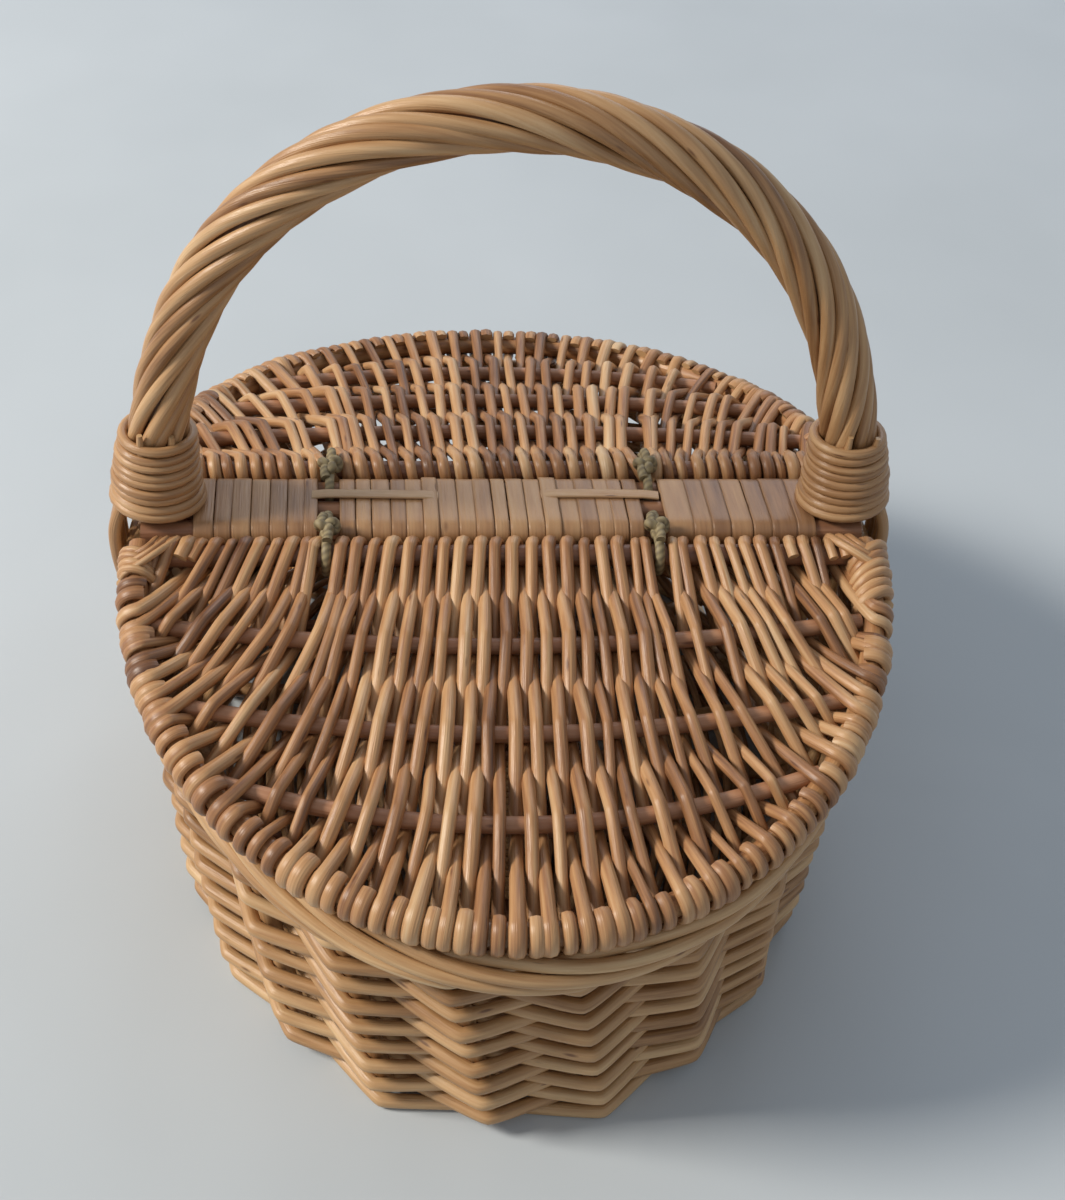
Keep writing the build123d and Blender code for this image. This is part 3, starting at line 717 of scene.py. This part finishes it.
def handle_frame(count):
    """The handle's middle line from left foot to right, the way out from it and how near a foot is."""
    top_centre_z = handle_top_z - top_bend_r
    rise = top_centre_z - handle_foot_z
    side_bend_r = (handle_half ** 2 + rise ** 2 - top_bend_r ** 2) / (2 * (handle_half - top_bend_r))
    side_centre_x = side_bend_r - handle_half
    meet = math.atan2(rise, side_centre_x)
    turn = np.concatenate([np.linspace(math.pi, math.pi - meet, 120)[:-1],
                           np.linspace(math.pi - meet, meet, 300), np.linspace(meet, 0, 120)[1:]])
    on_side = np.where(turn > math.pi - meet, 1, np.where(turn < meet, -1, 0))
    bend_r = np.where(on_side == 0, top_bend_r, side_bend_r)
    x = side_centre_x * on_side + bend_r * np.cos(turn)
    z = np.where(on_side == 0, top_centre_z, handle_foot_z) + bend_r * np.sin(turn)
    far = np.concatenate([[0], np.cumsum(np.hypot(np.diff(x), np.diff(z)))])
    along = np.linspace(0, far[-1], count)
    angle = np.interp(along, far, turn)
    middle = np.column_stack([np.interp(along, far, x), np.zeros(count), np.interp(along, far, z)])
    outward = np.column_stack([np.cos(angle), np.zeros(count), np.sin(angle)])
    at_foot = np.clip((handle_foot_z + foot_swell_h - middle[:, 2]) / foot_swell_h, 0, 1)
    return along, middle, outward, at_foot


def roped_strand(j):
    """One rod of the roping, turning from the outside to the front to the inside."""
    along, middle, outward, at_foot = handle_frame(170)
    share = along / along[-1]
    size = chance.uniform(0.93, 1.07)
    drift = chance.uniform(0, 6.3)
    r = strand_r * size * (1 + 0.05 * np.sin(share * 9 + drift))
    swell = (rope_foot_r - rope_r) * at_foot ** 1.5
    radius = rope_r - strand_r + swell + 0.25 * np.sin(share * 23 + drift * 2)
    turn = 2 * math.pi * (j / strand_count + rope_turns * share) + 0.10 * np.sin(share * 17 + drift)
    front = np.array([0.0, -1.0, 0.0])
    side = outward * np.cos(turn)[:, None] + front * np.sin(turn)[:, None]
    return {"path": middle + side * radius[:, None], "up": side, "r": r, "thick": r * 0.95,
            "tint": some_tint(chance, 0.55, 0.13, 0.1, 0.9)}


lay_rods("handle_strands", [roped_strand(j) for j in range(strand_count)], 12, "basket",
         handle_willow, ["handle_roping"])

# The bow inside is one stout brown stick, bent while it is green. Its ends are shaved
# thin and pushed down the wall beside a stake, which holds the handle.
bow_r = 6.4
leg_z = (80.0, 120.0, 150.0, 162.0)
leg_r = np.array([3.6, 4.0, 4.0, 6.2])
bow_rods = [{"path": handle_frame(90)[1], "r": bow_r, "tint": 0.4}]
for side in (-1, 1):
    bow_rods.append({"path": [(side * handle_half, 0, z) for z in leg_z], "r": leg_r, "tint": 0.4})
lay_rods("bow_stick", bow_rods, 12, "basket", stick_willow, ["handle_bow"])

# Each foot is bound with a thin buff rod, drawn tight above and slacker below, where
# it grips the ends of the bar. Two tips of roping rods stick out above it.
foot_turns = 9.2
foot_rod_r = 2.2
foot_bound_to_z = 199.5
foot_wrap_r = 17.2
foot_wrap_narrows = 3.4
tip_circle_r = 12.6
tip_x = 140.5
tip_z = 193.0


def foot_binding(side):
    """The winding round one foot, with the tips of roping rods that stick out above it."""
    t = np.linspace(0, foot_turns, int(foot_turns * 28))
    share = t / foot_turns
    z = handle_foot_z + foot_rod_r + (foot_bound_to_z - handle_foot_z - 2 * foot_rod_r) * share
    slack = (1.5 if side > 0 else 0.8) * (1 - share)
    z = z + 0.4 * np.sin(t * math.pi + side) + slack * np.sin(t * 2 * math.pi + 1.9)
    middle = handle_frame(400)[1]
    centre = side * np.interp(z, middle[:200, 2], -middle[:200, 0])
    radius = foot_wrap_r - foot_wrap_narrows * share ** 1.2 + 0.25 * np.sin(t * 2.1)
    turn = 2 * math.pi * t
    path = np.column_stack([centre + radius * np.cos(turn) * side, radius * np.sin(turn), z])
    rods = [{"path": path, "r": foot_rod_r * (1.05 - 0.15 * share + 0.05 * np.sin(t * 1.7)), "tint": 0.55}]
    for angle, top in ((-1.9, 6.0), (-0.9, 4.0)):
        low = np.array([side * tip_x + tip_circle_r * math.cos(angle), tip_circle_r * math.sin(angle), tip_z])
        rods.append({"path": [low, low + [0, 0, 4], low + [0.3, -0.4, 4 + top]],
                     "r": np.array([1.7, 1.6, 1.1]), "tint": 0.7})
    return rods


for word, side in (("left", -1), ("right", 1)):
    lay_rods("foot_binding_" + word, foot_binding(side), 10, "basket", handle_willow,
             ["handle_foot_wrap_" + word])

# The liners are four short buff rods below each foot. They come out of its binding, go
# down over the border and are pushed into the weave of the wall.
liner_r = 2.6
liner_y = (-8.4, -2.8, 2.8, 8.4)
liner_line = ((155.5, 0.8, 166.0), (159.0, 1.0, 157.0), (160.2, 1.0, 148.0), (159.6, 1.0, 136.0),
              (157.0, 1.05, 124.0), (153.0, 1.1, 114.0))        # x, how far y spreads, z
for word, side in (("left", -1), ("right", 1)):
    liners = []
    for y in liner_y:
        points = [(side * x, y * spread, z) for x, spread, z in liner_line]
        liners.append({"path": smooth_line(points, 5), "r": liner_r, "tint": chance.uniform(0.5, 0.8)})
    lay_rods("liner_rods_" + word, liners, 10, "basket", handle_willow,
             ["handle_liners_" + word])

# Each lid is a bent hoop closed by a straight brown rod, with three sticks between them
# that bow towards the hinge. Rods are doubled round the hinge rod, woven out over and
# under the sticks, and turned round the hoop.
hoop_r = 4.5
hoop_half_x = 147.5
lid_stick_r = 3.3
stick_middles = (46.0, 87.0, 126.0)  # from the hinge rod to each stick's middle
stick_bows = (12.0, 16.0, 22.0)      # how far each stick's ends bow back towards the hinge
corner_v = {-1: 15.0, 1: 30.0}       # where the corner bindings end, at the left and the right
tie_places = (-73.0, 61.0)
# the lids' rods are mixed from several boilings, so they run from dark brown to straw
lid_willow = willow("buff_willow_mixed_shades_varnished",
                    ["55331f", "7a5335", "9e704a", "b98c60", "c8a277", "d4b791"], 0.35)


def lid_space(front):
    """The lid's own directions in the basket: across, away from the hinge, and up off the lid."""
    slope = front_slope if front else rear_slope
    side = -1 if front else 1
    reach = (rim_half_y + 0.6 - hinge_y) / math.cos(slope) - lid_wrap_r
    axes = np.array([[1.0, 0.0, 0.0], [0.0, side * math.cos(slope), -math.sin(slope)],
                     [0.0, side * math.sin(slope), math.cos(slope)]])
    return reach, np.array([0.0, side * hinge_y, bar_z]), axes


def stick_v(k, x, reach):
    """How far a bowed stick lies from the hinge at x."""
    end_v = stick_middles[k] - stick_bows[k]
    end_x = hoop_half_x * math.sqrt(1 - (end_v / reach) ** 2)
    return stick_middles[k] - stick_bows[k] * (x / end_x) ** 2


def hoop_point(share, reach):
    """A place on the hoop between its two bound corners, left to right, with its outward direction."""
    turn = np.linspace(math.pi - math.asin(corner_v[-1] / reach), math.asin(corner_v[1] / reach), 721)
    middle = (turn[1:] + turn[:-1]) / 2
    arc = np.concatenate([[0], np.cumsum(np.hypot(hoop_half_x * np.sin(middle), reach * np.cos(middle)))])
    angle = float(np.interp(share * arc[-1], arc, turn))
    normal = np.array([math.cos(angle) / hoop_half_x, math.sin(angle) / reach])
    return np.array([hoop_half_x * math.cos(angle), reach * math.sin(angle)]), normal / np.linalg.norm(normal)


# The rods of a lid lie over and under its sticks. A place across the lid runs from -1
# on the left to 1 on the right, and the same place stands for a spot on the hinge rod
# and for one on the hoop, where the rods have fanned out.
weaver_pairs = 44
weaver_r = (1.85, 2.9, 2.55)     # the thinnest, the thickest and the usual
weaver_tint = (0.52, 0.13, 0.12, 0.85)      # the usual shade, its spread, the darkest and the palest
butt_and_tip = (1.08, 0.9)       # a rod's thickness at its ends against its middle's
hinge_run = 140.5
hinge_wander = 0.7
hoop_wander = 0.002
fan_places = [0, 0.3, 0.55, 0.75, 1]
fan_on_hoop = [0, 0.345, 0.68, 0.85, 1]
# how much of a rod's direction at an end is square to what it goes round, and how much along its line
leave_by_tie = (0.8, 0.2)
leave_elsewhere = (0.22, 0.78)
arrive_at_hoop = (0.72, 0.28)
bend_share = 0.33        # how much of a rod's length each of its two bends takes up
pull_share = 0.45        # how firmly a rod keeps its direction at a crossing, against the run to the next
longest_pull = 12.0
tie_clear = 5.6          # the least distance from a tie's middle to a rod's
beside_tie = 13.0        # rods this near to a tie leave the hinge rod straight
hoop_clear = 13.0        # a rod doesn't weave round a stick this near to the hoop
hinge_clear = 9.0        # or this near to the hinge rod
crossing_wander = 1.3
hinge_squeeze = 0.6      # how much of its radius a rod keeps where it is pulled round a stick
hoop_squeeze = 0.8
wrap_squeeze = 0.72
upper_wrap = 215         # degrees that a rod goes round the hoop from above
lower_wrap = (205, 228)  # and from below, where its end shows on top
press_flat = 0.7         # a rod's thickness where it is pressed round the hoop
press_wide = 1.2
press_points = 6
one_rod_beyond = 0.86    # towards the corners there is room for one rod of a pair
every_other_beyond = 0.66


def weaver(place, over_hinge, reach, r, dice):
    """Half of a doubled rod, from the hinge rod to its end round the hoop."""
    x_hinge = hinge_run * (1.1 * place - 0.1 * place ** 3) + dice.uniform(-hinge_wander, hinge_wander)
    for tie in tie_places:
        if abs(x_hinge - tie) < tie_clear:
            x_hinge = tie + math.copysign(tie_clear, x_hinge - tie)
    fan = math.copysign(np.interp(abs(place), fan_places, fan_on_hoop), place)
    target, normal = hoop_point(0.5 + 0.5 * fan * 0.995 + dice.uniform(-hoop_wander, hoop_wander), reach)
    start = np.array([x_hinge, 0.0])
    line = target - start
    far = np.linalg.norm(line)
    line = line / far
    by_tie = min(abs(x_hinge - tie) for tie in tie_places) < beside_tie
    square, along = leave_by_tie if by_tie else leave_elsewhere
    leave = np.array([0.0, 1.0]) * square + line * along
    arrive = normal * arrive_at_hoop[0] + line * arrive_at_hoop[1]
    handles = [start, start + leave / np.linalg.norm(leave) * far * bend_share,
               target - arrive / np.linalg.norm(arrive) * far * bend_share, target]
    t = np.linspace(0, 1, 121)[:, None]
    curve = ((1 - t) ** 3 * handles[0] + 3 * (1 - t) ** 2 * t * handles[1]
             + 3 * (1 - t) * t ** 2 * handles[2] + t ** 3 * handles[3])
    crossings = [(curve[0], hoop_r + r * hinge_squeeze)]
    for k in range(len(stick_middles)):
        gap = curve[:, 1] - stick_v(k, curve[:, 0], reach)
        hits = np.where((gap[:-1] < 0) & (gap[1:] >= 0))[0]
        if not len(hits):
            continue
        spot = curve[hits[0]]
        if np.linalg.norm(spot - target) > hoop_clear and spot[1] > hinge_clear:
            crossings.append((spot + [dice.uniform(-crossing_wander, crossing_wander), 0], lid_stick_r + r))
    crossings.append((curve[-1], hoop_r + r * hoop_squeeze))
    points = []
    sign = 1 if over_hinge else -1
    knots = []
    for spot, lift in crossings:
        knots.append(np.array([spot[0], spot[1], sign * lift]))
        sign = -sign
    last_sign = -sign
    ways = [np.array([*(leave / np.linalg.norm(leave)), 0.0])]
    for a, c in zip(knots[:-2], knots[2:]):
        way = np.array([*(c - a)[:2], 0.0])
        ways.append(way / np.linalg.norm(way))
    ways.append(np.array([*normal, 0.0]))
    steps = 0.5 - 0.5 * np.cos(np.linspace(0, math.pi, 11))
    for a, b, wa, wb in zip(knots[:-1], knots[1:], ways[:-1], ways[1:]):
        run = np.linalg.norm(b - a)
        pull = min(run * pull_share, longest_pull)
        u = steps[:-1][:, None]
        points.append((2 * u ** 3 - 3 * u ** 2 + 1) * a + (u ** 3 - 2 * u ** 2 + u) * wa * pull
                      + (3 * u ** 2 - 2 * u ** 3) * b + (u ** 3 - u ** 2) * wb * pull)
    points.append(knots[-1][None])
    points = np.vstack(points)
    ups = np.tile([0.0, 0.0, 1.0], (len(points), 1))
    # round the hoop: an upper end goes on down and under, a lower end comes up and lies on top
    sweep_to = math.radians(upper_wrap if last_sign > 0 else dice.uniform(*lower_wrap))
    angle = np.linspace(0, sweep_to, 15)[1:]
    radius = hoop_r + r * wrap_squeeze
    out = np.column_stack([normal[0] * np.sin(angle), normal[1] * np.sin(angle), last_sign * np.cos(angle)])
    centre = np.array([target[0], target[1], 0.0])
    points = np.vstack([points, centre + out * radius])
    # the end is flattened where it is pressed round the hoop
    free = np.ones(len(ups) - press_points)
    flatten = np.concatenate([free, np.linspace(1, press_flat + 0.02, press_points), np.full(14, press_flat)])
    widen = np.concatenate([free, np.linspace(1, press_wide - 0.02, press_points), np.full(14, press_wide)])
    ups = np.vstack([ups * last_sign, out])
    return points, ups, flatten, widen


def woven_lid(front):
    """All the rods of one lid, most of them doubled round the hinge rod."""
    reach, hinge, axes = lid_space(front)
    dice = random.Random(11 if front else 47)
    rods = []
    for pair in range(weaver_pairs):
        r = dice.triangular(*weaver_r)
        tint = some_tint(dice, *weaver_tint)
        halves = []
        for half in (0, 1):
            place = (2 * pair + half + 0.5) / weaver_pairs - 1
            halves.append(weaver(place, half == 0, reach, r, dice))
        near_corner = abs((2 * pair + 1) / weaver_pairs - 1)
        if near_corner > one_rod_beyond or near_corner > every_other_beyond and pair % 2:
            # the rod isn't doubled: its other end is cut off just past the hinge rod
            cut_half = 1 if pair % 4 < 2 else 0
            halves[cut_half] = [values[:4] for values in halves[cut_half]]
        (a_points, a_ups, a_flat, a_wide), (b_points, b_ups, b_flat, b_wide) = halves
        angle = np.linspace(0, math.pi, 11)[1:-1]
        radius = hoop_r + r * hinge_squeeze
        x = a_points[0][0] + (b_points[0][0] - a_points[0][0]) * (angle / math.pi)
        round_hinge = np.column_stack([x, -radius * np.sin(angle), radius * np.cos(angle)])
        hinge_up = np.column_stack([np.zeros(9), -np.sin(angle), np.cos(angle)])
        points = np.vstack([a_points[::-1], round_hinge, b_points])
        flat = np.concatenate([a_flat[::-1], np.full(9, 0.85), b_flat])
        wide = np.concatenate([a_wide[::-1], np.full(9, 1.08), b_wide])
        first, last = butt_and_tip if dice.random() < 0.5 else butt_and_tip[::-1]
        size = np.linspace(first, last, len(points))
        ups = np.vstack([a_ups[::-1], hinge_up, b_ups])
        for i in range(1, len(ups)):
            if ups[i].dot(ups[i - 1]) < 0:
                ups[i] = -ups[i]
        rods.append({"path": points @ axes + hinge, "up": ups @ axes, "r": r * wide * size,
                     "thick": r * flat * size, "tint": tint})
    return rods


def lid_rod(points, front, r, tint):
    """A rod of the lid's frame, given in the lid's own directions."""
    reach, hinge, axes = lid_space(front)
    return {"path": smooth_line(points, 6) @ axes + hinge, "r": r, "tint": tint}


# Each corner of a lid is bound with a thin buff rod that goes round the hoop's end. The
# left one has fewer and thinner turns. Three short strands go over the corner, from
# round the hoop to round the hinge rod.
corner_turns = {-1: 4, 1: 6}
corner_rod_r = {-1: 1.9, 1: 2.5}
corner_slant = {-1: 1.5, 1: 3.5}
corner_strand_r = {-1: 1.45, 1: 1.85}
strand_round_r = 6.4         # of a strand's way round the hoop and the hinge rod
strand_places = [(4.0, 5.5), (8.0, 9.5), (12.0, 13.5)]       # along the hoop, along the hinge rod


def corner_binding(front, side):
    """The turns round the hoop's end and the strands over the corner."""
    reach, hinge, axes = lid_space(front)
    turns = corner_turns[side]
    r = corner_rod_r[side]
    t = np.linspace(0, turns, turns * 18)
    v = 1.0 + (corner_v[side] - 2.0) * t / turns + 0.3 * np.sin(t * 5)
    angle = np.arcsin(v / reach)
    normal = np.column_stack([np.cos(angle) / hoop_half_x, np.sin(angle) / reach])
    normal /= np.linalg.norm(normal, axis=1)[:, None]
    radius = hoop_r + r * 0.85 + 0.25 * np.sin(t * 2.3 + side)
    spin = 2 * math.pi * t
    slant = corner_slant[side] * np.cos(spin)
    middle = np.column_stack([hoop_half_x * np.cos(angle), v - slant])
    flat = middle + normal * (radius * np.cos(spin))[:, None]
    path = np.column_stack([flat[:, 0] * side, flat[:, 1], radius * np.sin(spin)])
    rods = [{"path": path @ axes + hinge, "r": r * (1 + 0.08 * np.sin(t * 3)), "tint": 0.62}]
    end_x = hoop_half_x - 1.5
    for k, (v_far, x_far) in enumerate(strand_places):
        start = [(end_x + 3.5 + 2.6 * math.sin(a), v_far, strand_round_r * math.cos(a) - 0.6)
                 for a in (2.2, 1.5, 0.8)]
        over = [(end_x - x_far * 0.30, v_far * 0.62, 7.4 + 0.4 * k),
                (end_x - x_far * 0.72, v_far * 0.22 - 1.0, 7.2 + 0.3 * k)]
        end = [(end_x - x_far, -strand_round_r * math.sin(a) - 1.0, strand_round_r * math.cos(a))
               for a in (0.5, 1.3, 2.1)]
        line = smooth_line(start + over + end, 6) * [side, 1, 1]
        rods.append({"path": line @ axes + hinge, "r": corner_strand_r[side], "tint": 0.45 + 0.12 * k})
    return rods


# Both lids are put together in the same way: the woven rods, then the hoop, the brown
# hinge rod and the three brown sticks, and then the corners' bindings.
hoop_past_hinge = 6.0
stick_end_gap = 5.5          # from a stick's end to the hoop's middle line
for word, front in (("front", True), ("rear", False)):
    body = word + "_lid"
    reach, hinge, axes = lid_space(front)
    lay_rods(word + "_lid_rods", woven_lid(front), 8, body, lid_willow, [word + "_lid_weave"])
    turn = np.linspace(0, math.pi, 25)
    bend = [(hoop_half_x * math.cos(a), reach * math.sin(a), 0.0) for a in turn]
    outline = [(hoop_half_x, -hoop_past_hinge, 0.0), *bend, (-hoop_half_x, -hoop_past_hinge, 0.0)]
    lay_rods(word + "_hoop_stick", [lid_rod(outline, front, hoop_r, 0.5)], 12, body, lid_willow,
             [word + "_lid_hoop"])
    hinge_line = [(x, 0.0, 0.0) for x in np.linspace(-hoop_half_x, hoop_half_x, 13)]
    lay_rods(word + "_hinge_stick", [lid_rod(hinge_line, front, hoop_r, 0.45)], 14, body,
             stick_willow, [word + "_lid_hinge_rod"])
    sticks = []
    for k in range(len(stick_middles)):
        end_v = stick_middles[k] - stick_bows[k]
        end_x = hoop_half_x * math.sqrt(1 - (end_v / reach) ** 2) - stick_end_gap
        line = [(x, stick_v(k, x, reach), 0.0) for x in np.linspace(-end_x, end_x, 15)]
        sticks.append(lid_rod(line, front, lid_stick_r, 0.8))
    lay_rods(word + "_cross_sticks", sticks, 10, body, stick_willow, [word + "_lid_sticks"])
    for name, side in (("left", -1), ("right", 1)):
        lay_rods(word + "_corner_" + name, corner_binding(front, side), 8, body, lid_willow,
                 [word + "_lid_corner_wrap_" + name])

# The lids hang on four waxed cords. Each passes round the hinge rod and the bar's outer
# rod, through the gap beside the middle rod, and is knotted on top.
tie_r = 2.0
tie_loop_r = 6.75
knot_y = 21.2
knot_z = 8.3             # above the bar's middle
knot_r = 1.85
knot_crossing = 1.15     # how far the knot's loops cross over each other
knot_depth = 1.7
tail_line = [(0.8, 24.0, 8.6), (0.6, 27.5, 9.6), (0.3, 30.5, 9.2)]       # x, y and z from the bar's middle
other_tail_line = [(-1.8, 20.0, 8.8), (-2.2, 16.5, 9.0), (-1.6, 13.0, 8.0)]
# waxed hemp is a greenish drab with little shine, and its strands slant round it every 2.5 mm
cord, tree = new_material("waxed_hemp_cord_twisted")
layout = add_node(tree, "ShaderNodeUVMap")
twist = add_node(tree, "ShaderNodeMapping", values={"Scale": (420.0, 2.0, 1.0)},
                 links={"Vector": layout.outputs["UV"]})
lay = add_node(tree, "ShaderNodeTexWave", {"bands_direction": "DIAGONAL"}, {"Scale": 0.6, "Distortion": 1.0},
               {"Vector": twist.outputs["Vector"]})
shade = add_node(tree, "ShaderNodeValToRGB", links={"Fac": lay.outputs["Fac"]})
shade.color_ramp.elements[0].color = linear("716348")
shade.color_ramp.elements[1].color = linear("958663")
rise = add_node(tree, "ShaderNodeBump", values={"Strength": 0.2, "Distance": 0.0003},
                links={"Height": lay.outputs["Fac"]})
surface = add_node(tree, "ShaderNodeBsdfPrincipled", values={"Roughness": 0.6},
                   links={"Base Color": shade.outputs["Color"], "Normal": rise.outputs["Normal"]})
add_node(tree, "ShaderNodeOutputMaterial", links={"Surface": surface.outputs["BSDF"]})


def tie_cord(x, side):
    """The cord's loop, and its knot with two short tails."""
    end = np.linspace(math.pi / 2, -math.pi / 2, 12)
    bar_side = np.column_stack([bar_pitch - tie_loop_r * np.cos(end), tie_loop_r * np.sin(end)])
    lid_side = np.column_stack([hinge_y + tie_loop_r * np.cos(-end), tie_loop_r * np.sin(-end)])
    loop = np.vstack([bar_side, lid_side])
    loop = np.column_stack([np.full(len(loop), x), side * loop[:, 0], bar_z + loop[:, 1]])
    turn = np.linspace(0, 2 * math.pi, 60)
    knot = np.column_stack([x + knot_r * (np.sin(turn) + knot_crossing * np.sin(2 * turn)),
                            side * knot_y + knot_r * (np.cos(turn) - knot_crossing * np.cos(2 * turn)),
                            bar_z + knot_z - knot_depth * np.sin(3 * turn)])
    cords = [{"path": path, "r": tie_r, "closed": True, "tint": 0.5} for path in (loop, knot)]
    for line in (tail_line, other_tail_line):
        points = [(x + right_by, side * out, bar_z + above) for right_by, out, above in line]
        cords.append({"path": smooth_line(points, 6), "r": tie_r, "tint": 0.5})
    return cords


for word, side in (("front", -1), ("rear", 1)):
    for name, x in (("left", tie_places[0]), ("right", tie_places[1])):
        lay_rods("tie_cord_" + word + "_" + name, tie_cord(x, side), 10, "basket", cord,
                 ["hinge_tie_" + word + "_" + name])
